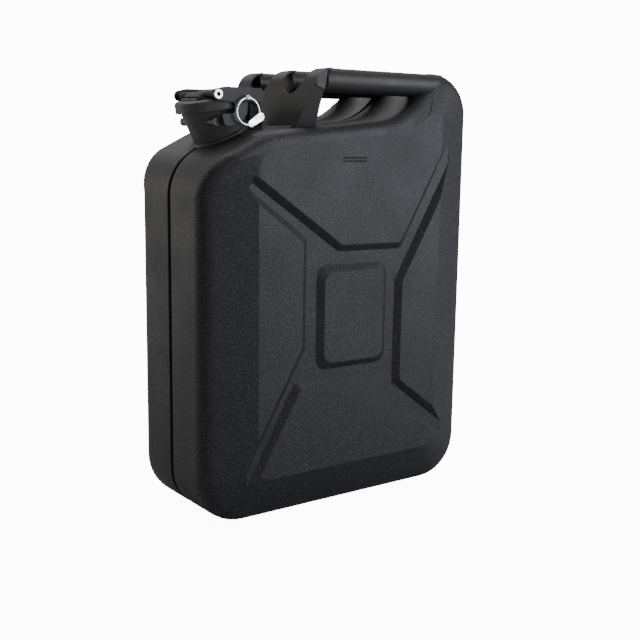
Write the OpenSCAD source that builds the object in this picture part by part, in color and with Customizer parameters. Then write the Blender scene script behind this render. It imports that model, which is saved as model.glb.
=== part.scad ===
// Steel fuel can with three grips, a tilted neck, a hinged cap, a locking lever and a safety pin.
// Units are millimetres. The origin is under the middle of the base, Z is up, the front looks to -Y.

/* [Body] */
// Width of the can from left to right
body_w = 345; // [338:1:360]
// Depth of the can from front to back
body_d = 165; // [160:1:174]
// Height of the can to the top of the hump
body_h = 464; // [450:1:485]
// Thickness of the pressed sheet
sheet = 1; // [0.8:0.1:1.2]
// Radius of the lower corners and of the left shoulder
corner_r = 50; // [42:1:54]
// Radius of the outer corner of the hump
hump_r = 45; // [40:1:48]
// Rounding between the side walls and the two faces
edge_r = 21; // [18:0.5:22]
// Depth of the groove along the seam
seam_depth = 3; // [2:0.25:3.5]
// Half width of the open seam
seam_half = 1.3; // [1:0.1:1.5]

/* [Pressed cross] */
// Depth of the pressed channels
press_depth = 5.5; // [4.5:0.25:6]
// Width of the middle pad
pad_w = 85; // [78:1:90]
// Height of the middle pad
pad_h = 103; // [96:1:108]
// Slope of the channel walls, sideways run per millimetre of depth
press_slope = 1.3; // [1:0.05:1.4]

/* [Grips] */
// Outer diameter of each grip
grip_od = 25; // [22:0.5:26]
// Distance between neighbouring grips
grip_pitch = 63; // [60:0.5:65]
// Wall of the rolled grips
grip_wall = 1.5; // [1.2:0.1:2]
// Lean of the handle plate from the vertical
plate_lean = 19; // [17:0.5:21]
// Thickness of the handle plate
plate_t = 2; // [1.5:0.1:2.5]

/* [Neck and cap] */
// Tilt of the neck towards the left
neck_tilt = 10; // [9:0.5:11]
// Lean of the neck's wall beyond the tilt of its rim
neck_lean = 10; // [9:0.5:11]
// Radius of the neck at its foot
neck_foot_r = 27; // [26.5:0.1:27.5]
// Radius of the neck at its rim
neck_rim_r = 32.5; // [31:0.25:33]
// Wall of the neck
neck_wall = 1.5; // [1.2:0.1:2]
// Radius of the pouring mouth
mouth_r = 24.5; // [22.5:0.25:25.5]
// Outer radius of the cap
cap_r = 36.5; // [36:0.1:37]
// Height of the cap's skirt
cap_skirt = 11.5; // [10:0.5:12]
// Thickness of the cap's metal
cap_t = 1.5; // [1.2:0.1:1.6]
// Thickness of the gasket under the cap
gasket_t = 3; // [2.5:0.1:3.5]

/* [Lever and pin] */
// Length of the lever behind its rivet
lever_len = 54.3; // [52:0.1:55]
// Thickness of the lever's metal
lever_t = 2.5; // [2:0.1:2.8]
// Radius of the rivet's shank
rivet_r = 3.2; // [2.8:0.1:3.6]
// Radius of the safety pin
pin_r = 2; // [1.8:0.1:2.2]
// Mean radius of the pull ring
ring_r = 13; // [11.5:0.25:14]
// Wire radius of the pull ring
ring_wire = 1; // [0.8:0.1:1.1]

/* [Fits] */
// Radial clearance of the turning and sliding fits
run_gap = 0.05; // [0.03:0.01:0.08]
// Free gap between neighbouring moving sheets
sheet_gap = 0.8; // [0.6:0.05:1]
// Free gap between gasket and rim with the cap closed
seal_gap = 0.05; // [0.03:0.01:0.1]

/* [Hidden] */
$fn = 64;
half_w = body_w / 2;
half_d = body_d / 2;

// Outline of the can: seven straight edges, each a point and a direction, counter-clockwise from the front
hump_slope = 42;
top_slope = 5.5;
shoulder_slope = 26.5;
hump_face_r = 25;
hump_flat = 0.8;
hump_run = hump_r + hump_flat + hump_face_r * tan(hump_slope / 2);
top_z = body_h - 56.6;
shoulder_z = body_h - 99.7;
outline_points = [
    [-half_w, 0],
    [half_w, 0],
    [half_w, body_h],
    [half_w - hump_run, body_h],
    [0, top_z],
    [-half_w, shoulder_z],
    [-half_w, shoulder_z]
];
outline_dirs = [
    [1, 0],
    [0, 1],
    [-1, 0],
    [-cos(hump_slope), -sin(hump_slope)],
    [-cos(top_slope), -sin(top_slope)],
    [-cos(shoulder_slope), -sin(shoulder_slope)],
    [0, -1]
];
outline_radii = [corner_r, corner_r, hump_r, hump_face_r, 80, 45, corner_r];
// The flat face starts this far inside each edge, with these corner radii
face_insets = [48, 54.5, 45, 22, 14, 16, 54.5];
face_radii = [14, 14, 9, 8, 66, 30, 24];
bevel_turn = 72;
// Share of the tight upper edge on each side, and at the start and end of each corner
tight_sides = [0, 0, 0, 0.5, 1, 1, 0];
tight_corners = [[0, 0], [0, 0], [0, 0], [0, 0.2], [0.75, 1], [1, 1], [1, 0]];
tight_r = 0.57 * edge_r;
tight_turn = 80;
arc_steps = 10;
round_steps = 6;

// Depth positions of the shell's cross-section
edge_inset = edge_r * (1 - cos(bevel_turn));
bevel_y = half_d - (54.5 - edge_inset) * tan(90 - bevel_turn);
flat_y = bevel_y - edge_r * sin(bevel_turn);
tight_inset = tight_r * (1 - cos(tight_turn));
tight_y = half_d - (14 - tight_inset) * tan(90 - tight_turn) - tight_r * sin(tight_turn);
lip_inset = seam_depth + 1.5;

// Pressed cross, measured from the middle of the pad
cross_x = -2;
cross_z = 0.4526 * body_h;
floor_y = half_d - press_depth;
// The pad and the two side panels stand this far to the right
side_shift = 2.7;
pad_shift = [3.5, -1.5];
// Sideways shift of the inner skin on the channel walls, per millimetre of sheet
skin_shift = sqrt(1 + press_slope * press_slope) - press_slope;
// The channels between the panels run out this far inside each edge
channel_insets = [33, 36, 41, 26, 26, 31, 41];
channel_radii = [10, 10, 8, 8, 60, 20, 16];

// Grips and handle plate
grip_top = body_h - 1.8;
grip_z = grip_top - grip_od / 2;
// The grips end on a plane parallel to the hump's face
grip_end = [half_w - hump_r + 1, grip_top];
bend_r = 8.5;
bend_steps = 12;
bend_out = bend_r + grip_od / 2;
// Half width of the plate's tongues where they leave the plate and where they meet the grips
tongue_wide = grip_od / 2 - 0.8;
tongue_narrow = 0.75 * tongue_wide;
// Width of the plate's folded sides at their top, and the step of the bend where they end under a tongue
fold_top = 11;
fold_last = 3;
// The grips reach this far under the tongues
grip_reach = 5.5;
bend_x = -26 - (half_w - 172.5);
plate_top = [bend_x - bend_out * cos(plate_lean), grip_z - bend_r + bend_out * sin(plate_lean)];
plate_foot_z = body_h - 64;
plate_foot_half = grip_pitch - 3;
plate_half = grip_pitch + grip_od / 2 - 0.5;
plate_flare = atan((plate_half - plate_foot_half) / (plate_top[1] - plate_foot_z));

// Neck frame: origin on the neck's axis inside the shoulder
neck_x = 56.3 - half_w;
neck_z = body_h - 81.6;
rim_h = 44.5;
mouth_len = 12;
skirt_low = rim_h + seal_gap + gasket_t + cap_t - cap_skirt;
cap_top = skirt_low + cap_skirt;
neck_taper = (neck_rim_r - neck_foot_r) / rim_h;

// World position of a point of the neck frame
function from_neck(u, h) = [
    neck_x + u * cos(neck_tilt) - h * sin(neck_tilt),
    neck_z + u * sin(neck_tilt) + h * cos(neck_tilt)
];

// Lever, in world axes
cap_corner = from_neck(cap_r, cap_top);
lever_low = cap_corner[1] + sheet_gap;
pivot = [cap_corner[0] - 50, lever_low - 5];
lever_end = pivot[0] + lever_len;
ear_in = cap_r + sheet_gap;
ear_out = ear_in + lever_t;
ear_r = 5.6;
web_start = 26;
head_gap = 0.3;
head_t = 1.6;

// Cap hinge, in world axes
hinge = [cap_corner[0] + 9.8, cap_corner[1] - 8.7];
hinge_r = 2.5;
knuckle_r = 4.5;
knuckle_half = 9;
bracket_gap = 1;
bracket_t = 3;

// Safety pin and ring, in world axes
pin_at = [pivot[0] + 32, pivot[1] - 3];
pin_in = sqrt(cap_r * cap_r - 14 * 14) + 1.2;
pin_head_r = 3.1;
pin_head_y = ear_out + 4.2;
axle_r = ring_wire + 0.3;
eye_half = 2;

// Inward normal of a direction on a counter-clockwise outline
function inward(d) = [-d[1], d[0]];

// Signed turn from one direction to the next
function turn(d, e) = atan2(d[0] * e[1] - d[1] * e[0], d[0] * e[0] + d[1] * e[1]);

// Crossing of two lines, each a point and a direction
function meet(p, d, q, e) = p + d * (((q[0] - p[0]) * e[1] - (q[1] - p[1]) * e[0])
    / (d[0] * e[1] - d[1] * e[0]));

// A vector turned by an angle
function spun(v, a) = [v[0] * cos(a) - v[1] * sin(a), v[0] * sin(a) + v[1] * cos(a)];

// Arc that rounds the corner c between directions d and e
function corner_arc(c, d, e, r, steps) =
    let (
        a = turn(d, e),
        start = c - d * (r * tan(abs(a) / 2)),
        centre = start + inward(d) * (r * sign(a))
    )
    [for (k = [0:steps]) centre + spun(start - centre, a * k / steps)];

// Closed rounded outline from edges moved inwards
function rounded(points, dirs, insets, radii, steps) =
    let (
        n = len(points),
        base = [for (i = [0:n - 1]) points[i] + inward(dirs[i]) * insets[i]]
    )
    [
        for (i = [0:n - 1])
        let (
            b = (i + n - 1) % n,
            c = meet(base[b], dirs[b], base[i], dirs[i])
        )
        for (p = corner_arc(c, dirs[b], dirs[i], radii[i], steps)) p
    ];

// Corner radii of the can outline after an even inset; the hollow corner grows instead
function inset_radii(d) = [for (i = [0:6]) i == 4 ? outline_radii[i] + d : max(outline_radii[i] - d, 4)];

// Can outline at an even inset
function can_outline(d) =
    rounded(outline_points, outline_dirs, [for (i = [0:6]) d], inset_radii(d), arc_steps);

// Outline of the flat face, moved in by a further amount
function face_outline(d) =
    rounded(outline_points, outline_dirs, [for (f = face_insets) f + d], face_radii, arc_steps);

// A flat outline placed at depth y
function at_depth(ring, y) = [for (p = ring) [p[0], -y, p[1]]];

// One value from the wide bevel's and the tight edge's, by share
function blend(wide, tight, share) = wide + (tight - wide) * share;

// Can outline with its own inset on each side
function edge_outline(insets) =
    let (
        radii = [
            for (i = [0:6])
            let (d = (insets[(i + 6) % 7] + insets[i]) / 2)
            i == 4 ? outline_radii[i] + d : max(outline_radii[i] - d, 4)
        ]
    )
    rounded(outline_points, outline_dirs, insets, radii, arc_steps);

// An outline whose depth changes from the wide bevel's sides to the tight edge's
function at_depths(ring, wide, tight) = [
    for (i = [0:6])
    for (k = [0:arc_steps])
    let (
        p = ring[i * (arc_steps + 1) + k],
        share = blend(tight_corners[i][0], tight_corners[i][1], k / arc_steps)
    )
    [p[0], -blend(wide, tight, share), p[1]]
];

// Rounded edge from the side wall to the bevel
function edge_rings(t) = [
    for (k = [1:round_steps])
    let (
        a = bevel_turn * k / round_steps,
        b = tight_turn * k / round_steps,
        wide = t + (edge_r - t) * (1 - cos(a)),
        tight = t + (tight_r - t) * (1 - cos(b))
    )
    at_depths(
        edge_outline([for (w = tight_sides) blend(wide, tight, w)]),
        flat_y + (edge_r - t) * sin(a),
        tight_y + (tight_r - t) * sin(b)
    )
];

// Rings of one half of the can, outer skin
function outer_rings() = concat(
    [
        at_depth(can_outline(seam_depth), seam_half),
        at_depth(can_outline(seam_depth / 3), seam_half + 0.7),
        at_depth(can_outline(0), seam_half + 2.2),
        at_depths(can_outline(0), flat_y, tight_y)
    ],
    edge_rings(0),
    [at_depth(face_outline(0), half_d)]
);

// Rings of the hollow inside one half
function inner_rings() = concat(
    [
        at_depth(can_outline(lip_inset), -1),
        at_depth(can_outline(lip_inset), seam_half + 1.6),
        at_depth(can_outline(sheet), seam_half + 3.6),
        at_depths(can_outline(sheet), flat_y, tight_y)
    ],
    edge_rings(sheet),
    [at_depth(face_outline(sheet * 0.16), half_d - sheet)]
);

// Edge directions of a closed outline given by its corners
function dirs_of(corners) =
    let (n = len(corners))
    [
        for (i = [0:n - 1])
        let (d = corners[(i + 1) % n] - corners[i])
        d / norm(d)
    ];

// Panels of the pressed cross, counter-clockwise, from the middle of the pad
top_panel = [[-15, 70.5], [66.7, 69.5], [66.7 + 45.7 * 3, 69.5 + 79 * 3], [180, 420], [-260, 420],
    [-15 - 102.7 * 2.4, 70.5 + 70.5 * 2.4]];
left_panel = [[-62, 80.6], [-62 - 66.4 * 3, 80.6 + 49.4 * 3], [-62.5 - 61.9 * 3.2, -30.7 - 105.9 * 3.2],
    [-62.5, -30.7]];
pad_panel = [[-pad_w / 2, -pad_h / 2], [pad_w / 2, -pad_h / 2], [pad_w / 2, pad_h / 2],
    [-pad_w / 2, pad_h / 2]];

// Middle of the box around a ring
function middle(ring) = [
    for (k = [0:2])
    let (row = [for (p = ring) p[k]])
    (min(row) + max(row)) / 2
];

// Solid between matching rings, each end closed by a fan about its middle
module loft(rings) {
    n = len(rings[0]);
    m = len(rings);
    last = (m - 1) * n;
    points = concat([for (r = rings) for (p = r) p], [middle(rings[0]), middle(rings[m - 1])]);
    sides = [
        for (j = [0:m - 2])
        for (i = [0:n - 1])
        let (a = j * n + i, b = j * n + (i + 1) % n)
        for (f = [[a, a + n, b + n], [a, b + n, b]]) f
    ];
    low = [for (i = [0:n - 1]) [i, (i + 1) % n, m * n]];
    high = [for (i = [0:n - 1]) [last + (i + 1) % n, last + i, m * n + 1]];
    polyhedron(points = points, faces = concat(low, high, sides));
}

// One raised panel with sloped walls; t moves it to the inner skin
module raised(corners, r, t, shift) {
    dirs = dirs_of(corners);
    n = len(corners);
    moved = [for (c = corners) c + [cross_x, cross_z] + shift];
    low_y = floor_y - t - 1;
    high_y = half_d - t + 1;
    grow = press_slope * (press_depth / 2 + 1);
    shrink = skin_shift * t;
    radii = [for (c = corners) r];
    loft([
        at_depth(rounded(moved, dirs, [for (c = corners) shrink - grow], radii, 5), low_y),
        at_depth(rounded(moved, dirs, [for (c = corners) shrink + grow], radii, 5), high_y)
    ]);
}

// Outline of the channels, moved in by a further amount
function channel_outline(d) =
    rounded(outline_points, outline_dirs, [for (c = channel_insets) c + d], channel_radii, 5);

// Everything that the pressing takes away from the face
module pressing(t) {
    rise = press_depth / 2 + 1;
    widen = -skin_shift * t;
    difference() {
        loft([
            at_depth(channel_outline(widen + press_slope * press_depth / 2), floor_y - t),
            at_depth(channel_outline(widen - press_slope * rise), half_d - t + 1)
        ]);
        raised(top_panel, 9, t, [0, 0]);
        raised([for (c = top_panel) -c], 9, t, [0, 0]);
        raised(left_panel, 9, t, [side_shift, 0]);
        raised([for (c = left_panel) -c], 9, t, [side_shift, 0]);
        raised(pad_panel, 12, t, pad_shift);
    }
}

// Outer body of the front half without its pressing
module half_body() {
    loft(outer_rings());
}

// Front half of the pressed can, before the level mark
module half_shell() {
    difference() {
        half_body();
        pressing(0);
        difference() {
            loft(inner_rings());
            pressing(sheet);
        }
        neck_core();
    }
}

// Whole outer body, for trimming what stands on it
module whole_body() {
    half_body();
    mirror([0, 1, 0])
        half_body();
}

// A flat drawing in X and Z made solid between two depths
module slab(y_low, y_high) {
    translate([0, y_high, 0])
        rotate([90, 0, 0])
            linear_extrude(y_high - y_low)
                children();
}

// Straight prism of the can outline, for trimming along the middle
module outline_prism(half) {
    slab(-half, half)
        polygon(can_outline(0));
}

// Places things in the neck's frame
module on_neck() {
    translate([neck_x, 0, neck_z])
        rotate([0, -neck_tilt, 0])
            children();
}

// Full cone inside the neck's outer face
module neck_core() {
    lean_cone(-20, 0);
}

// Leaning cone from a height up past the rim, made thinner by d
module lean_cone(low, d) {
    high = rim_h + 12;
    on_neck()
        translate([0, 0, rim_h])
            rotate([0, -neck_lean, 0])
                translate([0, 0, low - rim_h])
                    cylinder(
                        h = high - low,
                        r1 = neck_foot_r + low * neck_taper - d,
                        r2 = neck_foot_r + high * neck_taper - d
                    );
}

// A round bar across the can at a point of the X-Z plane
module cross_bar(at, r, y_low, y_high) {
    translate([at[0], y_high, at[1]])
        rotate([90, 0, 0])
            cylinder(h = y_high - y_low, r = r);
}

module front_shell() {
    color([0.12, 0.12, 0.13])
        difference() {
            half_shell();
            for (k = [0, 1])
                translate([-17.5, -half_d - 1, body_h - 92 - 3.4 * k])
                    cube([31, 1.6, 1.5]);
        }
}

module rear_shell() {
    color([0.12, 0.12, 0.13])
        mirror([0, 1, 0])
            half_shell();
}

module seam_weld() {
    color([0.05, 0.05, 0.05])
        difference() {
            slab(-seam_half, seam_half)
                difference() {
                    polygon(can_outline(seam_depth));
                    polygon(can_outline(lip_inset));
                }
            neck_core();
        }
}

module neck() {
    low_h = -4;
    color([0.14, 0.14, 0.14])
        difference() {
            lean_cone(low_h, 0);
            on_neck()
                translate([0, 0, rim_h])
                    cylinder(h = 40, r = 60);
            on_neck()
                translate([0, 0, rim_h - mouth_len - 6])
                    cylinder(h = mouth_len + 7, r = mouth_r);
            difference() {
                lean_cone(low_h - 1, neck_wall);
                on_neck()
                    translate([0, 0, rim_h - mouth_len])
                        cylinder(h = 60, r = 60);
            }
        }
}

module neck_lugs() {
    color([0.14, 0.14, 0.14])
        for (side = [-1, 1])
            difference() {
                slab(side > 0 ? 15 : -34, side > 0 ? 34 : -15)
                    union() {
                        translate([pivot[0] + 2, pivot[1] - 26.3])
                            circle(r = 4.2);
                        translate([pivot[0] + 2, pivot[1] - 30.5])
                            square([7, 8.4]);
                    }
                neck_core();
            }
}

module hinge_bracket() {
    color([0.14, 0.14, 0.14])
        for (side = [-1, 1])
            difference() {
                slab_side(side, knuckle_half + bracket_gap, knuckle_half + bracket_gap + bracket_t) {
                    translate(hinge)
                        circle(r = 6);
                    polygon([hinge + [-6, 0], hinge + [-6, -40], hinge + [11, -40], hinge + [6, 0]]);
                }
                outline_prism(30);
                neck_core();
                cross_bar(hinge, hinge_r, -30, 30);
            }
}

// A slab between two depths on one side of the middle
module slab_side(side, near, far) {
    slab(side > 0 ? near : -far, side > 0 ? far : -near)
        children();
}

module hinge_pin() {
    reach = knuckle_half + bracket_gap + bracket_t;
    color([0.3, 0.3, 0.3]) {
        cross_bar(hinge, hinge_r, -reach - 1.5, reach + 1.5);
        cross_bar(hinge, hinge_r + 1.6, reach, reach + 1.8);
        cross_bar(hinge, hinge_r + 1.6, -reach - 1.8, -reach);
    }
}

// Leaning line of the handle plate: a point at distance s below its top, moved right by t
function plate_at(s, t) = plate_top
    + [-sin(plate_lean), -cos(plate_lean)] * s
    + [cos(plate_lean), -sin(plate_lean)] * t;

// Outline of the plate seen along X: it widens from its feet to the grips
module plate_front() {
    run = tan(plate_flare);
    polygon([
        [-plate_foot_half + 20 * run, plate_foot_z - 20],
        [plate_foot_half - 20 * run, plate_foot_z - 20],
        [plate_half + 10 * run, plate_top[1] + 10],
        [-plate_half - 10 * run, plate_top[1] + 10]
    ]);
}

// Folded side of the plate, seen along Y
module plate_fold() {
    polygon([
        plate_at(0, 0.5),
        plate_at(70, 0.5),
        plate_at(70, 27),
        plate_at(46, 24.5),
        plate_at(0, fold_top)
    ]);
}

// Arc of a tongue's skin seen along Y, from its grip down to the plate
function tongue_arc(r) = [
    for (k = [0:bend_steps])
    let (a = (90 - plate_lean) * k / bend_steps)
    [bend_x - r * sin(a), grip_z - bend_r + r * cos(a)]
];

// One tongue of the plate, bent over to the end of its grip; the outer ones keep their outer edge straight
module plate_tongue(k) {
    inner = tongue_arc(bend_out - plate_t);
    intersection() {
        slab(-tongue_wide, tongue_wide)
            polygon(concat(
                tongue_arc(bend_out),
                [plate_at(1, 0), plate_at(1, plate_t)],
                [for (k = [bend_steps:-1:0]) inner[k]]
            ));
        linear_extrude(body_h + 10)
            polygon([
                [plate_top[0] - 5, -tongue_wide - 1],
                [plate_top[0], -tongue_wide],
                [bend_x + 1, k < 0 ? -tongue_wide : -tongue_narrow],
                [bend_x + 1, k > 0 ? tongue_wide : tongue_narrow],
                [plate_top[0], tongue_wide],
                [plate_top[0] - 5, tongue_wide + 1]
            ]);
    }
}

// Side of an outer tongue, between its bend and the folded side of the plate
module tongue_side() {
    arc = tongue_arc(bend_out - plate_t / 2);
    polygon(concat(
        [for (k = [fold_last:bend_steps]) arc[k]],
        [plate_at(4, plate_t / 2), plate_at(4, fold_top + 1)]
    ));
}

module handle_plate() {
    gap_half = plate_foot_half - 11;
    u_r = grip_pitch / 2 - grip_od / 2 + 0.5;
    color([0.13, 0.13, 0.13])
        difference() {
            union() {
                intersection() {
                    slab(-half_d, half_d)
                        polygon([
                            plate_at(0, 0),
                            plate_at(70, 0),
                            plate_at(70, plate_t),
                            plate_at(0, plate_t)
                        ]);
                    translate([-half_w, 0, 0])
                        rotate([90, 0, 90])
                            linear_extrude(body_w)
                                plate_front();
                }
                for (side = [-1, 1])
                    translate([0, side * plate_foot_half, plate_foot_z])
                        rotate([-side * plate_flare, 0, 0])
                            translate([0, 0, -plate_foot_z])
                                slab_side(side, -plate_t, 0)
                                    plate_fold();
                for (k = [-1, 0, 1])
                    translate([0, k * grip_pitch, 0])
                        plate_tongue(k);
                for (side = [-1, 1])
                    translate([0, side * (grip_pitch + tongue_wide), 0])
                        slab_side(side, -plate_t, 0)
                            tongue_side();
            }
            for (side = [-1, 1]) {
                translate([bend_x - 60, side * grip_pitch / 2, grip_z - 13 + u_r])
                    rotate([0, 90, 0])
                        cylinder(h = 60, r = u_r);
                translate([bend_x - 60, side * grip_pitch / 2 - u_r, grip_z - 13 + u_r])
                    cube([60, 2 * u_r, 40]);
            }
            slab(-gap_half, gap_half)
                translate([0, 2.6])
                    polygon(can_outline(0));
            for (side = [-1, 1])
                translate([bend_x - 60, side * gap_half, plate_top[1] - 45])
                    rotate([0, 90, 0])
                        cylinder(h = 60, r = 3);
            whole_body();
        }
}

// Grip before its end is trimmed to the hump; its top ends under the plate's tongue
module grip_solid() {
    inner = tongue_arc(bend_out - plate_t);
    difference() {
        translate([bend_x - grip_reach, 0, grip_z])
            rotate([0, 90, 0])
                cylinder(h = half_w - hump_r + 4 - bend_x + grip_reach, r = grip_od / 2);
        slab(-half_d, half_d)
            polygon(concat(
                inner,
                [[bend_x - 60, inner[bend_steps][1]], [bend_x - 60, grip_top + 5], [bend_x, grip_top + 5]]
            ));
    }
}

// What lies behind the slanted end of a grip
module behind_end() {
    run = [cos(hump_slope), sin(hump_slope)];
    slab(-half_d, half_d)
        polygon([grip_end - 90 * run, grip_end + [100, -100], grip_end + 60 * run]);
}

// Straight bore along a grip
module grip_bore() {
    translate([bend_x + 2, 0, grip_z])
        rotate([0, 90, 0])
            cylinder(h = body_w, r = grip_od / 2 - grip_wall);
}

module front_grip() {
    color([0.11, 0.11, 0.11])
        difference() {
            translate([0, -grip_pitch, 0])
                grip_solid();
            translate([0, -grip_pitch, 0])
                grip_bore();
            behind_end();
            half_body();
        }
}

module middle_grip() {
    color([0.11, 0.11, 0.11])
        difference() {
            grip_solid();
            grip_bore();
            behind_end();
            outline_prism(30);
        }
}

module rear_grip() {
    color([0.11, 0.11, 0.11])
        mirror([0, 1, 0])
            difference() {
                translate([0, -grip_pitch, 0])
                    grip_solid();
                translate([0, -grip_pitch, 0])
                    grip_bore();
                behind_end();
                half_body();
            }
}

module cap_shell() {
    color([0.15, 0.15, 0.15])
        on_neck()
            rotate_extrude()
                polygon([
                    [0, cap_top],
                    [cap_r - 2.5, cap_top],
                    [cap_r, cap_top - 2],
                    [cap_r, skirt_low],
                    [cap_r - cap_t, skirt_low],
                    [cap_r - cap_t, cap_top - cap_t],
                    [0, cap_top - cap_t]
                ]);
}

module cap_gasket() {
    color([0.04, 0.04, 0.04])
        on_neck()
            translate([0, 0, rim_h + seal_gap])
                difference() {
                    cylinder(h = gasket_t, r = neck_rim_r + 1);
                    translate([0, 0, -1])
                        cylinder(h = gasket_t + 2, r = mouth_r - 2);
                }
}

module cap_knuckle() {
    color([0.15, 0.15, 0.15])
        difference() {
            union() {
                cross_bar(hinge, knuckle_r, -knuckle_half, knuckle_half);
                on_neck()
                    translate([cap_r - 6, -knuckle_half, skirt_low - 1])
                        cube([11, 2 * knuckle_half, 6.5]);
            }
            on_neck()
                translate([0, 0, skirt_low - 10])
                    cylinder(h = 30, r = cap_r);
            cross_bar(hinge, hinge_r + run_gap, -20, 20);
        }
}

// Channel form on the cap, narrower at its free end
module channel_form(side, rise, grow) {
    hull() {
        slab(-side, side)
            translate([-6, cap_top - 1])
                square([11 + grow, rise + 1]);
        slab(9 - side, side - 9)
            translate([-20 - grow / 10, cap_top - 1])
                square([1, rise - 2 + 1]);
        slab(10.5 - side, side - 10.5)
            translate([-19, cap_top - 1])
                square([2, rise + 1]);
    }
}

module cap_channel() {
    ch_half = 23;
    wall = 2;
    color([0.14, 0.14, 0.14])
        difference() {
            on_neck() {
                difference() {
                    channel_form(ch_half, 7, 0);
                    channel_form(ch_half - wall, 7 - wall, 4);
                    slab(-60, 60)
                        translate([-40, cap_top - 20])
                            square([60, 20]);
                }
                slab(-16, 16)
                    translate([-24.5, cap_top])
                        square([6, 2.4]);
            }
            cross_bar(pivot, rivet_r, -60, 60);
        }
}

module lever_rivet() {
    reach = ear_out + head_gap;
    color([0.75, 0.73, 0.62])
        difference() {
            union() {
                cross_bar(pivot, rivet_r, -reach - head_t, reach + head_t);
                cross_bar(pivot, rivet_r + 1.6, reach, reach + head_t);
                cross_bar(pivot, rivet_r + 1.6, -reach - head_t, -reach);
            }
            cross_bar(pivot, rivet_r * 0.6, -reach - head_t - 1, 3.5 - reach);
            cross_bar(pivot, rivet_r * 0.6, reach - 3.5, reach + head_t + 1);
        }
}

// Outline of one lever cheek with its hook
module cheek() {
    low = lever_low - pivot[1];
    translate(pivot) {
        circle(r = ear_r);
        polygon([
            [-1, ear_r - 0.1],
            [8, low + lever_t],
            [lever_len - 4, low + lever_t],
            [lever_len, low + lever_t - 4],
            [lever_len, -3],
            [lever_len - 3, -6],
            [35, -6],
            [33.5, -18],
            [28, -25],
            [20, -29.5],
            [9.5, -30.3],
            [7.4, -28.5],
            [5, -20.5],
            [6.5, -18.6],
            [17, -18],
            [19.5, -15.5],
            [19.5, -9.5],
            [17, -7.2],
            [-1, -ear_r + 0.1]
        ]);
    }
}

module locking_lever() {
    color([0.13, 0.13, 0.15])
        difference() {
            union() {
                for (side = [-1, 1])
                    slab_side(side, ear_in, ear_out)
                        cheek();
                translate([pivot[0] + web_start, -ear_out, lever_low])
                    cube([lever_len - web_start - 4, 2 * ear_out, lever_t]);
            }
            cross_bar(pivot, rivet_r + run_gap, -60, 60);
            cross_bar(pin_at, pin_r + run_gap, -60, 0);
        }
}

module safety_pin() {
    color([0.8, 0.8, 0.8])
        difference() {
            union() {
                cross_bar(pin_at, pin_r, -pin_head_y, -pin_in);
                translate([pin_at[0], -pin_head_y, pin_at[1]])
                    rotate([0, 90, 0])
                        sphere(r = pin_head_r);
            }
            translate([pin_at[0] - 10, -pin_head_y, pin_at[1]])
                rotate([0, 90, 0])
                    cylinder(h = 20, r = axle_r + run_gap);
        }
}

// Wire loop of the ring
module ring_loop(r) {
    translate([pin_at[0], -pin_head_y, pin_at[1] - ring_r])
        rotate([90, 0, 0])
            rotate_extrude()
                translate([ring_r, 0])
                    circle(r = r);
}

module pull_ring() {
    color([0.85, 0.85, 0.85]) {
        ring_loop(ring_wire);
        translate([pin_at[0] - eye_half - 1.6, -pin_head_y, pin_at[1]])
            rotate([0, 90, 0])
                cylinder(h = 2 * eye_half + 3.2, r = axle_r);
    }
}

module ring_tag() {
    tag_t = 2 * ring_wire + 0.8;
    color([0.8, 0.8, 0.78])
        difference() {
            translate([pin_at[0], -pin_head_y + tag_t / 2, pin_at[1] - ring_r])
                rotate([90, 0, 0])
                    hull() {
                        translate([ring_r * 0.23, -ring_r * 0.89])
                            cylinder(h = tag_t, r = 3.2);
                        translate([ring_r * 1.08, -ring_r * 0.36])
                            cylinder(h = tag_t, r = 4);
                    }
            ring_loop(ring_wire);
        }
}

front_shell();
rear_shell();
seam_weld();
neck();
neck_lugs();
hinge_bracket();
hinge_pin();
handle_plate();
front_grip();
middle_grip();
rear_grip();
cap_shell();
cap_gasket();
cap_knuckle();
cap_channel();
lever_rivet();
locking_lever();
safety_pin();
pull_ring();
ring_tag();
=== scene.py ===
"""Looks of a pressed-steel fuel can with a three-bar grip and a locking cap."""

import logging
import math
from dataclasses import dataclass
from enum import Enum
from typing import Any, Dict, List, Optional, Sequence, Tuple, Union

import bmesh
import bpy
from mathutils import Matrix, Vector

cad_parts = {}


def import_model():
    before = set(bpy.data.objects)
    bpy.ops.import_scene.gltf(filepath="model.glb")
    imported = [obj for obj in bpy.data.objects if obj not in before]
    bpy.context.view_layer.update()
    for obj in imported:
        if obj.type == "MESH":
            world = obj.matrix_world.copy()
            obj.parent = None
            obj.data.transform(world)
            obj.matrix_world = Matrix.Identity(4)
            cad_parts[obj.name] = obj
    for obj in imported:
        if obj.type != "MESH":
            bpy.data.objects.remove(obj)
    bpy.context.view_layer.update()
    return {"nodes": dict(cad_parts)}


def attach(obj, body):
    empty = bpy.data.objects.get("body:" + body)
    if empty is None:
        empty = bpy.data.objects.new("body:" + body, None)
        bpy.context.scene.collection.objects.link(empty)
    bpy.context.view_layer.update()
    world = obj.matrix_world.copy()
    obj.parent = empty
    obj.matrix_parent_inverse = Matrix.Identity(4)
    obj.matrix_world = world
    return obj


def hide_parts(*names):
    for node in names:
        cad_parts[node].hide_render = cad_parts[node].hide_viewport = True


frame: Dict[str, Any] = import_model()
LOG = logging.getLogger("fuel_can")
MM = 0.001
MERGE_DISTANCE = 2e-6
FLAT_DEG = 0.4

Colour = Tuple[float, float, float]


def scaled(colour: Colour, factor: float) -> Colour:
    """A colour made lighter or darker."""
    return tuple(factor * level for level in colour)


class Body(Enum):
    """Moving bodies of the can."""

    CAN = "can"
    CAP = "cap"
    LEVER = "lever"
    PIN = "pin"
    RING = "ring"


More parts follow.
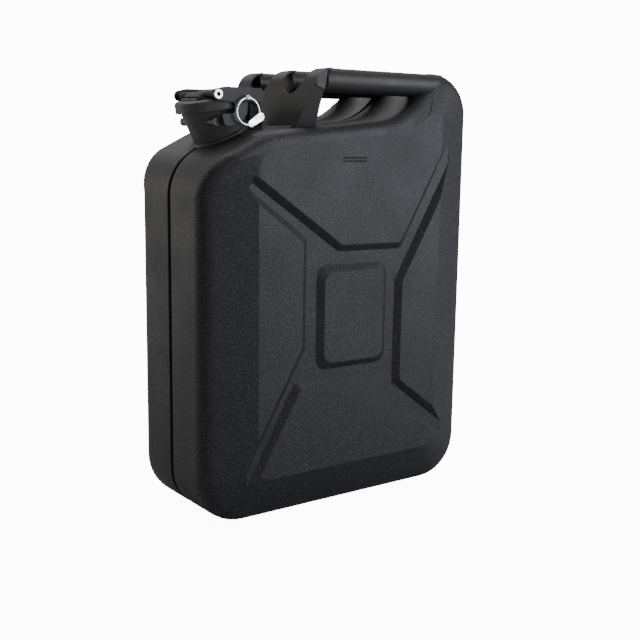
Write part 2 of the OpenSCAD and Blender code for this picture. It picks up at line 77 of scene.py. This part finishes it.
class Slot(Enum):
    """Finishes that the record names."""

    BODY = "body_paint"
    SEAM = "seam_paint"
    HANDLE = "handle_paint"
    CLOSURE = "closure_paint"
    LEVER = "lever_paint"
    GASKET = "gasket_rubber"
    RIVET = "rivet_steel"
    RING = "ring_steel"


class Value:
    """A node's output that can be used in plain arithmetic."""

    def __init__(self, graph: "Graph", socket: bpy.types.NodeSocket) -> None:
        """Keep the graph and the socket."""
        self.graph = graph
        self.socket = socket

    def _math(self, operation: str, a: Any, b: Any) -> "Value":
        """Add one Math node.

        Args:
            operation: the node's operation.
            a: first value or number.
            b: second value or number.

        Returns:
            The node's result.
        """
        return self.graph.node("ShaderNodeMath", {"operation": operation}, {0: a, 1: b})

    def __add__(self, other: Any) -> "Value":
        """Sum."""
        return self._math("ADD", self, other)

    def __radd__(self, other: Any) -> "Value":
        """Sum with a number on the left."""
        return self._math("ADD", other, self)

    def __sub__(self, other: Any) -> "Value":
        """Difference."""
        return self._math("SUBTRACT", self, other)

    def __rsub__(self, other: Any) -> "Value":
        """Difference with a number on the left."""
        return self._math("SUBTRACT", other, self)

    def __mul__(self, other: Any) -> "Value":
        """Product."""
        return self._math("MULTIPLY", self, other)

    def __rmul__(self, other: Any) -> "Value":
        """Product with a number on the left."""
        return self._math("MULTIPLY", other, self)

    def __abs__(self) -> "Value":
        """Size without its sign."""
        return self._math("ABSOLUTE", self, 0.0)

    def at_least(self, low: float) -> "Value":
        """The value, or the limit where it is lower."""
        return self._math("MAXIMUM", self, low)

    def above(self, limit: float) -> "Value":
        """1 where the value is over the limit, else 0."""
        return self._math("GREATER_THAN", self, limit)

    def under(self, limit: float) -> "Value":
        """1 where the value is below the limit, else 0."""
        return self._math("LESS_THAN", self, limit)


class Graph:
    """One material's node tree."""

    def __init__(self, name: str) -> None:
        """Start an empty material with its output and shader."""
        self.material = bpy.data.materials.new(name)
        self.material.use_nodes = True
        self.tree = self.material.node_tree
        self.tree.nodes.clear()
        self.output = self.tree.nodes.new("ShaderNodeOutputMaterial")
        self.shader = self.tree.nodes.new("ShaderNodeBsdfPrincipled")
        self.tree.links.new(self.shader.outputs[0], self.output.inputs[0])

    def node(
        self,
        kind: str,
        settings: Optional[Dict[str, Any]] = None,
        inputs: Optional[Dict[Union[int, str], Any]] = None,
        out: Union[int, str] = 0,
    ) -> Value:
        """Add a node.

        Args:
            kind: the node's type.
            settings: its own settings, set first; "stops" fills a colour ramp.
            inputs: values or links of its sockets.
            out: the output that is wanted.

        Returns:
            That output.
        """
        made = self.tree.nodes.new(kind)
        for key, value in (settings or {}).items():
            if key == "stops":
                self._stops(made.color_ramp, value)
            else:
                setattr(made, key, value)
        for key, value in (inputs or {}).items():
            self.feed(made.inputs[key], value)
        return Value(self, made.outputs[out])

    @classmethod
    def of_tree(cls, tree: bpy.types.NodeTree) -> "Graph":
        """A graph that adds to a tree that is already there."""
        graph = cls.__new__(cls)
        graph.tree = tree
        return graph

    def feed(self, socket: bpy.types.NodeSocket, value: Any) -> None:
        """Link or set one input.

        Args:
            socket: the input.
            value: a value to link, or a plain number, colour or vector.
        """
        if isinstance(value, Value):
            self.tree.links.new(value.socket, socket)
        else:
            socket.default_value = value

    @staticmethod
    def _stops(ramp: bpy.types.ColorRamp, stops: Sequence[Tuple[float, float]]) -> None:
        """Fill a ramp with grey stops.

        Args:
            ramp: the ramp.
            stops: the place and the grey level of each stop.
        """
        while len(ramp.elements) < len(stops):
            ramp.elements.new(0.5)
        for element, (place, level) in zip(ramp.elements, stops):
            element.position = place
            element.color = (level, level, level, 1.0)

    def place(self) -> Value:
        """Object coordinates, in metres."""
        return self.node("ShaderNodeTexCoord", out="Object")

    def along(self, vector: Value, axis: str) -> Value:
        """One axis of a vector."""
        return self.node("ShaderNodeSeparateXYZ", inputs={0: vector}, out=axis)

    def noise(self, size_mm: float, detail: float = 2.0, stretch: Sequence[float] = (1, 1, 1)) -> Value:
        """Cloudy noise.

        Args:
            size_mm: width of its main features.
            detail: number of finer layers.
            stretch: scale along X, Y and Z.

        Returns:
            The noise, from 0 to 1.
        """
        spot = self.node("ShaderNodeMapping", inputs={"Vector": self.place(), "Scale": tuple(stretch)})
        return self.node(
            "ShaderNodeTexNoise",
            inputs={"Vector": spot, "Scale": 1.0 / (size_mm * MM), "Detail": detail, "Roughness": 0.55},
        )

    def cells(self, size_mm: float) -> Value:
        """Distance to the nearest of scattered points.

        Args:
            size_mm: spacing of the points.

        Returns:
            The distance, near 0 at a point.
        """
        return self.node(
            "ShaderNodeTexVoronoi",
            inputs={"Vector": self.place(), "Scale": 1.0 / (size_mm * MM)},
        )

    def ramp(self, value: Value, *stops: Tuple[float, float]) -> Value:
        """Reshape a value by grey stops."""
        return self.node("ShaderNodeValToRGB", {"stops": stops}, {0: value})

    def mix(self, share: Value, a: Union[Colour, Value], b: Union[Colour, Value]) -> Value:
        """Blend two colours.

        Args:
            share: how much of the second.
            a: first colour or a link.
            b: second colour or a link.

        Returns:
            The blended colour.
        """
        first, second = (c if isinstance(c, Value) else (*c, 1.0) for c in (a, b))
        return self.node("ShaderNodeMix", {"data_type": "RGBA"}, {0: share, 6: first, 7: second}, out=2)

    def bump(self, height: Value, depth_mm: float, strength: float) -> Value:
        """Bump normals from a height.

        Args:
            height: the height, from 0 to 1.
            depth_mm: depth of one unit of height.
            strength: the node's strength.

        Returns:
            The normal.
        """
        return self.node(
            "ShaderNodeBump",
            inputs={"Height": height, "Distance": depth_mm * MM, "Strength": strength},
        )

    def finish(self, **sockets: Any) -> bpy.types.Material:
        """Feed the shader.

        Args:
            sockets: values by socket name, with underscores for spaces.

        Returns:
            The material.
        """
        for key, value in sockets.items():
            self.feed(self.shader.inputs[key.replace("_", " ")], value)
        return self.material


@dataclass(frozen=True)
class Hollow:
    """Box that holds a pressed mark's grooves, under the open skin; the coat paints shade inside it."""

    middle: Tuple[float, float, float]
    half: Tuple[float, float, float]

    def inside(self, g: Graph) -> Value:
        """Tell the inside of the box from the rest.

        Args:
            g: the material's graph.

        Returns:
            1 inside the box, else 0.
        """
        place = g.place()
        held = [
            abs(g.along(place, axis) - middle).under(half)
            for axis, middle, half in zip("XYZ", self.middle, self.half)
        ]
        return held[0] * held[1] * held[2]


@dataclass(frozen=True)
class TexturedCoat:
    """Baked powder coat with a fine orange-peel grain."""

    name: str
    dark: Colour
    light: Colour
    grain_mm: float = 1.5
    depth_mm: float = 0.16
    gloss: float = 0.58
    spread: float = 0.1
    sheen: float = 0.2
    # Width of the seam's groove that is painted darker as shade; 0 for none.
    groove_mm: float = 0.0
    speck_mm: float = 0.0
    mark: Optional[Hollow] = None
    cloud_mm: float = 70.0
    fine_size: float = 0.45
    pit_size: float = 1.3
    speck_gain: float = 3.0
    speck_height: float = 0.4
    # Share of the dark colour used as painted shade in the seam's groove.
    groove_painted_shade: float = 0.4
    groove_dulling: float = 0.4
    mark_dulling: float = 0.32
    grain_dulling: float = 0.12
    bump_strength: float = 0.8

    def material(self) -> bpy.types.Material:
        """Make the coat, darker (painted shade) and duller in the seam's groove and in the level mark's
        grooves.

        Returns:
            The material.
        """
        g = Graph(self.name)
        grain = g.noise(self.grain_mm, 3.0)
        fine = g.noise(self.grain_mm * self.fine_size, 1.0)
        cloud = g.noise(self.cloud_mm, 2.0)
        pits = g.ramp(g.cells(self.grain_mm * self.pit_size), (0.0, 0.0), (0.55, 1.0))
        height = grain * 0.65 + fine * 0.2 + pits * 0.3
        tone = g.ramp(grain * 0.75 + fine * 0.25, (0.4, 0.0), (0.64, 1.0))
        worn = g.ramp(cloud, (0.35, 0.0), (0.7, 1.0))
        paint = g.mix(tone * (0.8 + 0.2 * worn), self.dark, self.light)
        rough = self.gloss + self.spread * (worn - 0.5) + self.grain_dulling * (0.5 - grain)
        if self.speck_mm > 0:
            speck = g.ramp(g.cells(self.speck_mm), (0.1, 0.8), (0.38, 0.0))
            paint = g.mix(speck, paint, scaled(self.light, self.speck_gain))
            height = height + self.speck_height * speck
        # Painted shade: within groove_mm of the middle plane, the seam's groove is painted darker and is
        # made duller.
        if self.groove_mm > 0:
            outside_groove_shade = abs(g.along(g.place(), "Y")).above(self.groove_mm * MM)
            paint = g.mix(outside_groove_shade, scaled(self.dark, self.groove_painted_shade), paint)
            rough = rough + self.groove_dulling * (1.0 - outside_groove_shade)
        # Painted shade: inside the box, the level mark's grooves are painted in the dark colour and made
        # duller.
        if self.mark:
            mark_painted_shade = self.mark.inside(g)
            paint = g.mix(mark_painted_shade, paint, self.dark)
            rough = rough + self.mark_dulling * mark_painted_shade
        return g.finish(
            Base_Color=paint,
            Roughness=rough,
            Specular_IOR_Level=self.sheen,
            Normal=g.bump(height, self.depth_mm, self.bump_strength),
        )


@dataclass(frozen=True)
class BrightMetal:
    """Plated steel with fine draw marks."""

    name: str
    tone: Colour
    shade: Colour
    gloss: float = 0.24
    mark_mm: float = 0.5
    mark_stretch: Tuple[float, float, float] = (1.0, 0.12, 1.0)
    cloud_mm: float = 5.0
    mark_depth_mm: float = 0.02

    def material(self) -> bpy.types.Material:
        """Make the plating.

        Returns:
            The material.
        """
        g = Graph(self.name)
        marks = g.noise(self.mark_mm, 2.0, self.mark_stretch)
        cloud = g.noise(self.cloud_mm, 3.0)
        dull = g.ramp(cloud, (0.4, 0.0), (0.72, 1.0))
        return g.finish(
            Base_Color=g.mix(dull, self.tone, self.shade),
            Metallic=1.0,
            Roughness=self.gloss + 0.16 * dull + 0.08 * (marks - 0.5),
            Normal=g.bump(marks, self.mark_depth_mm, 0.4),
        )


@dataclass(frozen=True)
class BareEnds:
    """Plated steel under paint, bare where it stands out past the paint."""

    name: str
    tone: Colour
    shade: Colour
    paint: Colour
    bare_from_mm: float
    worn_gain: float = 2.2
    cloud_mm: float = 2.5
    depth_mm: float = 0.04
    sheen: float = 0.15

    def material(self) -> bpy.types.Material:
        """Make the painted shank with its bare heads.

        Returns:
            The material.
        """
        g = Graph(self.name)
        cloud = g.noise(self.cloud_mm, 3.0)
        dull = g.ramp(cloud, (0.4, 0.0), (0.72, 1.0))
        bare = abs(g.along(g.place(), "Y")).above(self.bare_from_mm * MM)
        painted = g.mix(dull, self.paint, scaled(self.paint, self.worn_gain))
        return g.finish(
            Base_Color=g.mix(bare, painted, g.mix(dull, self.tone, self.shade)),
            Metallic=bare,
            Roughness=0.6 - 0.3 * bare + 0.14 * dull,
            Specular_IOR_Level=self.sheen,
            Normal=g.bump(cloud, self.depth_mm, 0.4),
        )


@dataclass(frozen=True)
class Rubber:
    """Moulded fuel-proof rubber."""

    name: str
    dark: Colour
    light: Colour
    bloom_mm: float = 6.0
    grit_mm: float = 0.6

    def material(self) -> bpy.types.Material:
        """Make the rubber.

        Returns:
            The material.
        """
        g = Graph(self.name)
        bloom = g.noise(self.bloom_mm, 3.0)
        grit = g.noise(self.grit_mm, 1.0)
        return g.finish(
            Base_Color=g.mix(g.ramp(bloom, (0.4, 0.0), (0.75, 1.0)), self.dark, self.light),
            Roughness=0.62 + 0.2 * (bloom - 0.5),
            Normal=g.bump(grit, 0.05, 0.5),
        )


class Finishes:
    """Every material of the can, made once."""

    def __init__(self) -> None:
        """Make the materials."""
        coats = {
            Slot.BODY: TexturedCoat(
                "body coat",
                dark=(0.0003, 0.0003, 0.0004),
                light=(0.0082, 0.0082, 0.0102),
                depth_mm=0.5,
                gloss=0.54,
                sheen=0.22,
                # Width of the painted shade in the seam's groove.
                groove_mm=2.9,
                speck_mm=2.2,
                # The level mark's grooves, painted dark as shade.
                mark=Hollow((-0.002, -0.0800, 0.37105), (0.0158, 0.0023, 0.0027)),
            ),
            # Painted shade: the weld strip in the seam's groove is painted near black with almost no
            # sheen, standing in for the shade in the groove.
            Slot.SEAM: TexturedCoat(
                "seam coat painted shade",
                dark=(0.0004, 0.0004, 0.0004),
                light=(0.001, 0.001, 0.001),
                grain_mm=1.2,
                depth_mm=0.1,
                gloss=0.85,
                sheen=0.02,
            ),
            Slot.HANDLE: TexturedCoat(
                "grip coat",
                dark=(0.002, 0.002, 0.0019),
                light=(0.0076, 0.0074, 0.007),
                grain_mm=1.1,
                depth_mm=0.14,
                gloss=0.54,
                sheen=0.24,
            ),
            # Painted light: the cap and neck paint is several times lighter than the body paint. It is a
            # lit copy that brightens the neck where the lamps leave it dark.
            Slot.CLOSURE: TexturedCoat(
                "cap coat lit copy",
                dark=(0.011, 0.011, 0.0111),
                light=(0.031, 0.031, 0.0315),
                grain_mm=0.9,
                depth_mm=0.06,
                gloss=0.54,
                sheen=0.26,
            ),
            Slot.LEVER: TexturedCoat(
                "lever coat",
                dark=(0.0027, 0.0027, 0.0031),
                light=(0.0084, 0.0084, 0.0098),
                grain_mm=0.9,
                depth_mm=0.06,
                gloss=0.46,
                sheen=0.17,
            ),
            Slot.GASKET: Rubber("gasket rubber", (0.014, 0.0135, 0.013), (0.034, 0.033, 0.032)),
            Slot.RIVET: BareEnds(
                "rivet plating",
                tone=(0.58, 0.55, 0.46),
                shade=(0.34, 0.32, 0.26),
                paint=(0.004, 0.004, 0.004),
                bare_from_mm=40.2,
            ),
            Slot.RING: BrightMetal("ring plating", (0.60, 0.60, 0.58), (0.22, 0.22, 0.21), 0.26),
        }
        self.made = {slot: finish.material() for slot, finish in coats.items()}

    def __getitem__(self, slot: Slot) -> bpy.types.Material:
        """Material of a slot."""
        return self.made[slot]


def dress(obj: bpy.types.Object, finishes: Finishes, slot: Slot, body: Body) -> None:
    """Give a new piece its finish and its body.

    Args:
        obj: the piece.
        finishes: the materials.
        slot: its finish.
        body: the body that it rides on.
    """
    obj.data.materials.append(finishes[slot])
    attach(obj, body.value)
    LOG.info("%s rides on %s", obj.name, body.value)


def piece_from(bm: bmesh.types.BMesh, name: str, sharp_deg: float) -> bpy.types.Object:
    """Turn a bmesh into a smooth-shaded object at the origin.

    Args:
        bm: the mesh, freed here.
        name: the piece's name.
        sharp_deg: edges that turn more than this stay sharp.

    Returns:
        The object.
    """
    mesh = bpy.data.meshes.new(name)
    bm.to_mesh(mesh)
    bm.free()
    if "custom_normal" in mesh.attributes:
        mesh.attributes.remove(mesh.attributes["custom_normal"])
    mesh.shade_smooth()
    mesh.set_sharp_from_angle(angle=math.radians(sharp_deg))
    obj = bpy.data.objects.new(name, mesh)
    bpy.context.scene.collection.objects.link(obj)
    return obj


def merged_copy(node: str) -> bmesh.types.BMesh:
    """A CAD node's mesh with its triangles joined into whole faces.

    Args:
        node: the node's name.

    Returns:
        The joined copy.
    """
    bm = bmesh.new()
    bm.from_mesh(frame["nodes"][node].data)
    bmesh.ops.remove_doubles(bm, verts=bm.verts[:], dist=MERGE_DISTANCE)
    bmesh.ops.dissolve_limit(
        bm,
        angle_limit=math.radians(FLAT_DEG),
        use_dissolve_boundaries=False,
        verts=bm.verts[:],
        edges=bm.edges[:],
    )
    return bm


def soften(obj: bpy.types.Object, width_mm: float, angle_deg: float = 35.0, segments: int = 2) -> None:
    """Round a piece's sharp edges and even out its shading.

    Args:
        obj: the piece.
        width_mm: width of the rounding.
        angle_deg: only edges that turn more than this.
        segments: steps across the rounding.
    """
    bevel = obj.modifiers.new("edge", "BEVEL")
    bevel.width = width_mm * MM
    bevel.segments = segments
    bevel.limit_method = "ANGLE"
    bevel.angle_limit = math.radians(angle_deg)
    bevel.use_clamp_overlap = True
    bevel.harden_normals = False
    even = obj.modifiers.new("shading", "WEIGHTED_NORMAL")
    even.keep_sharp = True


@dataclass
class SheetPiece:
    """One CAD node carried over as a softened, smooth-shaded piece."""

    node: str
    slot: Slot
    body: Body
    edge_mm: float = 0.0
    sharp_deg: float = 32.0

    def build(self, finishes: Finishes) -> bpy.types.Object:
        """Make the piece in place of its node.

        Args:
            finishes: the materials.

        Returns:
            The piece.
        """
        obj = piece_from(merged_copy(self.node), self.node + "_look", self.sharp_deg)
        if self.edge_mm > 0:
            soften(obj, self.edge_mm)
        dress(obj, finishes, self.slot, self.body)
        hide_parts(self.node)
        return obj


@dataclass
class CanBody:
    """The two pressed halves and the weld between them."""

    fold_mm: float = 2.2
    fold_steps: int = 3
    fold_turn_deg: float = 24.0
    bend_turn_deg: float = 6.0
    face_depth: float = 0.060
    face_flat: float = 0.0823
    mark_low: float = 0.362
    mark_high: float = 0.376
    mark_half: float = 0.024
    outward_least: float = 0.2
    sharp_deg: float = 40.0

    def _folds(self, bm: bmesh.types.BMesh, side: float) -> List[bmesh.types.BMEdge]:
        """Edges of the pressing on the outer skin and the bends around the face.

        Args:
            bm: the half's mesh.
            side: -1 for the front half, 1 for the rear.

        Returns:
            The edges.
        """
        found = []
        for edge in bm.edges:
            if len(edge.link_faces) != 2 or self._marked(edge):
                continue
            depth = min(v.co.y * side for v in edge.verts)
            outward = all(f.normal.y * side > self.outward_least for f in edge.link_faces)
            turn = math.degrees(edge.calc_face_angle(0.0))
            least = self.bend_turn_deg if depth > self.face_flat else self.fold_turn_deg
            if depth > self.face_depth and outward and turn > least:
                found.append(edge)
        return found

    def _marked(self, edge: bmesh.types.BMEdge) -> bool:
        """Whether an edge belongs to the level mark, which stays crisp."""
        return all(
            abs(v.co.x) < self.mark_half and self.mark_low < v.co.z < self.mark_high for v in edge.verts
        )

    def _half(self, node: str, side: float, finishes: Finishes) -> None:
        """Make one half with rounded folds.

        Args:
            node: the half's node.
            side: -1 for the front half, 1 for the rear.
            finishes: the materials.
        """
        bm = merged_copy(node)
        bm.normal_update()
        bmesh.ops.bevel(
            bm,
            geom=self._folds(bm, side),
            offset=self.fold_mm * MM,
            offset_type="OFFSET",
            segments=self.fold_steps,
            profile=0.5,
            affect="EDGES",
            material=-1,
            clamp_overlap=True,
            loop_slide=True,
        )
        obj = piece_from(bm, node + "_look", self.sharp_deg)
        even = obj.modifiers.new("shading", "WEIGHTED_NORMAL")
        even.keep_sharp = True
        dress(obj, finishes, Slot.BODY, Body.CAN)
        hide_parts(node)

    def build(self, finishes: Finishes) -> None:
        """Make the halves and the seam.

        Args:
            finishes: the materials.
        """
        self._half("front_shell", -1.0, finishes)
        self._half("rear_shell", 1.0, finishes)
        SheetPiece("seam_weld", Slot.SEAM, Body.CAN).build(finishes)


@dataclass
class CarryGrip:
    """Three tube grips on their welded plate."""

    plate_edge_mm: float = 0.5
    tube_edge_mm: float = 0.4
    tube_sharp_deg: float = 40.0

    def build(self, finishes: Finishes) -> None:
        """Make the plate and the tubes.

        Args:
            finishes: the materials.
        """
        SheetPiece("handle_plate", Slot.HANDLE, Body.CAN, self.plate_edge_mm).build(finishes)
        for node in ("front_grip", "middle_grip", "rear_grip"):
            SheetPiece(node, Slot.HANDLE, Body.CAN, self.tube_edge_mm, self.tube_sharp_deg).build(finishes)


@dataclass
class FillerNeck:
    """Neck, its weld, its lugs and the cap's hinge."""

    edge_mm: float = 0.4
    pin_edge_mm: float = 0.3
    weld_mm: float = 2.6
    weld_half: Tuple[float, float] = (0.0285, 0.0283)
    weld_middle: Tuple[float, float, float] = (-0.1120, 0.0, 0.3945)
    shoulder_deg: float = 26.5
    weld_sides: int = 12
    weld_steps: int = 96
    weld_sharp_deg: float = 60.0
    weld_merge: float = 1e-6

    def _weld(self, finishes: Finishes) -> None:
        """Lay the weld bead where the neck meets the shoulder.

        Args:
            finishes: the materials.
        """
        bm = bmesh.new()
        upright = Matrix.Rotation(math.radians(90.0), 4, "X")
        bmesh.ops.create_circle(
            bm,
            segments=self.weld_sides,
            radius=self.weld_mm * MM,
            matrix=Matrix.Translation((self.weld_half[0], 0.0, 0.0)) @ upright,
        )
        bmesh.ops.spin(
            bm,
            geom=bm.edges[:],
            angle=2.0 * math.pi,
            steps=self.weld_steps,
            axis=(0, 0, 1),
            cent=(0, 0, 0),
            use_merge=True,
        )
        bmesh.ops.remove_doubles(bm, verts=bm.verts[:], dist=self.weld_merge)
        bmesh.ops.recalc_face_normals(bm, faces=bm.faces[:])
        oval = Matrix.Diagonal((1.0, self.weld_half[1] / self.weld_half[0], 1.0, 1.0))
        slope = Matrix.Rotation(-math.radians(self.shoulder_deg), 4, "Y")
        laid = Matrix.Translation(self.weld_middle) @ slope @ oval
        bmesh.ops.transform(bm, verts=bm.verts[:], matrix=laid)
        bead = piece_from(bm, "neck_weld_bead", self.weld_sharp_deg)
        dress(bead, finishes, Slot.CLOSURE, Body.CAN)

    def build(self, finishes: Finishes) -> None:
        """Make the neck's pieces.

        Args:
            finishes: the materials.
        """
        self._weld(finishes)
        SheetPiece("neck", Slot.CLOSURE, Body.CAN, self.edge_mm).build(finishes)
        SheetPiece("neck_lugs", Slot.CLOSURE, Body.CAN, self.edge_mm).build(finishes)
        SheetPiece("hinge_bracket", Slot.CLOSURE, Body.CAN, self.edge_mm).build(finishes)
        SheetPiece("hinge_pin", Slot.CLOSURE, Body.CAN, self.pin_edge_mm).build(finishes)


@dataclass
class FillerCap:
    """Cap, gasket, hinge knuckle and lever channel."""

    edge_mm: float = 0.6
    gasket_edge_mm: float = 0.5
    knuckle_edge_mm: float = 0.3
    channel_edge_mm: float = 0.4
    rivet_edge_mm: float = 0.4

    def build(self, finishes: Finishes) -> None:
        """Make the cap's pieces.

        Args:
            finishes: the materials.
        """
        SheetPiece("cap_shell", Slot.CLOSURE, Body.CAP, self.edge_mm).build(finishes)
        SheetPiece("cap_gasket", Slot.GASKET, Body.CAP, self.gasket_edge_mm).build(finishes)
        SheetPiece("cap_knuckle", Slot.CLOSURE, Body.CAP, self.knuckle_edge_mm).build(finishes)
        SheetPiece("cap_channel", Slot.CLOSURE, Body.CAP, self.channel_edge_mm).build(finishes)
        SheetPiece("lever_rivet", Slot.RIVET, Body.CAP, self.rivet_edge_mm).build(finishes)


@dataclass
class LockLever:
    """Locking lever and its cheeks."""

    edge_mm: float = 0.5

    def build(self, finishes: Finishes) -> None:
        """Make the lever.

        Args:
            finishes: the materials.
        """
        SheetPiece("locking_lever", Slot.LEVER, Body.LEVER, self.edge_mm).build(finishes)


@dataclass
class SafetyPin:
    """Locking pin with its pull ring and tag."""

    edge_mm: float = 0.2
    ring_sharp_deg: float = 60.0

    def build(self, finishes: Finishes) -> None:
        """Make the pin, the ring and the tag.

        Args:
            finishes: the materials.
        """
        SheetPiece("safety_pin", Slot.RING, Body.PIN, self.edge_mm).build(finishes)
        SheetPiece("pull_ring", Slot.RING, Body.RING, sharp_deg=self.ring_sharp_deg).build(finishes)
        SheetPiece("ring_tag", Slot.RING, Body.RING, self.edge_mm).build(finishes)


@dataclass
class Lamp:
    """One soft area light."""

    name: str
    place: Tuple[float, float, float]
    aim: Tuple[float, float, float]
    size: float
    power: float
    tint: Colour = (1.0, 1.0, 1.0)

    def build(self) -> None:
        """Hang the lamp."""
        data = bpy.data.lights.new(self.name, "AREA")
        data.shape = "SQUARE"
        data.size = self.size
        data.energy = self.power
        data.color = self.tint
        lamp = bpy.data.objects.new(self.name, data)
        lamp.location = self.place
        turn = (Vector(self.aim) - Vector(self.place)).to_track_quat("-Z", "Y")
        lamp.rotation_euler = turn.to_euler()
        bpy.context.scene.collection.objects.link(lamp)


@dataclass
class Studio:
    """Floor, light and camera."""

    eye: Tuple[float, float, float] = (-0.6496, -0.9114, 0.3924)
    target: Tuple[float, float, float] = (0.0065, -0.0141, 0.1927)
    lens: float = 57.03
    roll_deg: float = 0.82
    floor_size: float = 30.0
    floor_cloud_mm: float = 400.0
    floor_low: Colour = (0.93, 0.93, 0.93)
    floor_high: Colour = (0.95, 0.95, 0.95)
    floor_bounce: Colour = (0.35, 0.35, 0.35)
    sky_low: float = 0.12
    sky_high: float = 0.6
    wash: float = 3.9
    wash_from: Tuple[float, float, float] = (0.0, 0.35, 0.94)
    wash_spread_deg: float = 70.0
    middle: Tuple[float, float, float] = (0.0, 0.0, 0.25)
    backdrop: float = 2.2
    glow: float = 11.0

    def _floor(self) -> None:
        """Lay a plain pale floor that throws little light back at the can."""
        bm = bmesh.new()
        bmesh.ops.create_grid(bm, x_segments=1, y_segments=1, size=self.floor_size)
        floor = piece_from(bm, "floor", 30.0)
        g = Graph("pale floor")
        pale = g.mix(g.noise(self.floor_cloud_mm), self.floor_low, self.floor_high)
        seen = g.node("ShaderNodeLightPath", out="Is Camera Ray")
        floor.data.materials.append(
            g.finish(
                Base_Color=g.mix(seen, self.floor_bounce, pale),
                Roughness=0.9,
                Specular_IOR_Level=0.1,
                Emission_Color=g.mix(seen, (0.0, 0.0, 0.0), (1.0, 1.0, 1.0)),
                Emission_Strength=self.glow,
            )
        )

    def _sky(self) -> None:
        """Light the room mostly from above, with a brighter backdrop behind the can."""
        world = bpy.data.worlds.new("studio")
        world.use_nodes = True
        g = Graph.of_tree(world.node_tree)
        seen = g.node("ShaderNodeLightPath", out="Is Camera Ray")
        up = g.along(g.node("ShaderNodeTexCoord", out="Generated"), "Z").at_least(0.0)
        sky = self.sky_low + (self.sky_high - self.sky_low) * up * up
        back = world.node_tree.nodes["Background"]
        back.inputs["Color"].default_value = (1.0, 1.0, 1.0, 1.0)
        g.feed(back.inputs["Strength"], sky + (self.backdrop + self.glow - sky) * seen)
        bpy.context.scene.world = world

    def _camera(self) -> None:
        """Set the camera where the photograph was taken."""
        data = bpy.data.cameras.new("camera")
        data.sensor_width = 36.0
        data.lens = self.lens
        data.clip_end = 100.0
        camera = bpy.data.objects.new("camera", data)
        look = (Vector(self.target) - Vector(self.eye)).to_track_quat("-Z", "Y").to_matrix().to_4x4()
        roll = Matrix.Rotation(math.radians(self.roll_deg), 4, "Z")
        camera.matrix_world = Matrix.Translation(Vector(self.eye)) @ look @ roll
        bpy.context.scene.collection.objects.link(camera)
        bpy.context.scene.camera = camera

    def build(self) -> None:
        """Set up the studio."""
        self._floor()
        self._sky()
        self._camera()
        lamps = [
            Lamp("key", (1.7, -2.0, 1.0), self.middle, 1.8, 140.0, (0.88, 0.92, 1.0)),
            Lamp("rear left", (-1.5, 2.1, 0.7), self.middle, 1.4, 21.0, (1.0, 0.96, 0.91)),
            Lamp("fill", (-1.3, -2.1, 0.5), self.middle, 1.2, 17.0),
        ]
        for lamp in lamps:
            lamp.build()
        self._wash()

    def _wash(self) -> None:
        """Hang the broad light from above."""
        wash = bpy.data.lights.new("wash", "SUN")
        wash.energy = self.wash
        wash.angle = math.radians(self.wash_spread_deg)
        sun = bpy.data.objects.new("wash", wash)
        sun.rotation_euler = Vector(self.wash_from).to_track_quat("Z", "Y").to_euler()
        bpy.context.scene.collection.objects.link(sun)


def main() -> None:
    """Build the can and its studio in order."""
    logging.basicConfig(level=logging.INFO, format="%(name)s: %(message)s")
    finishes = Finishes()
    for group in (CanBody(), CarryGrip(), FillerNeck(), FillerCap(), LockLever(), SafetyPin()):
        group.build(finishes)
        LOG.info("%s done", type(group).__name__)
    Studio().build()


if __name__ == "__main__":
    main()
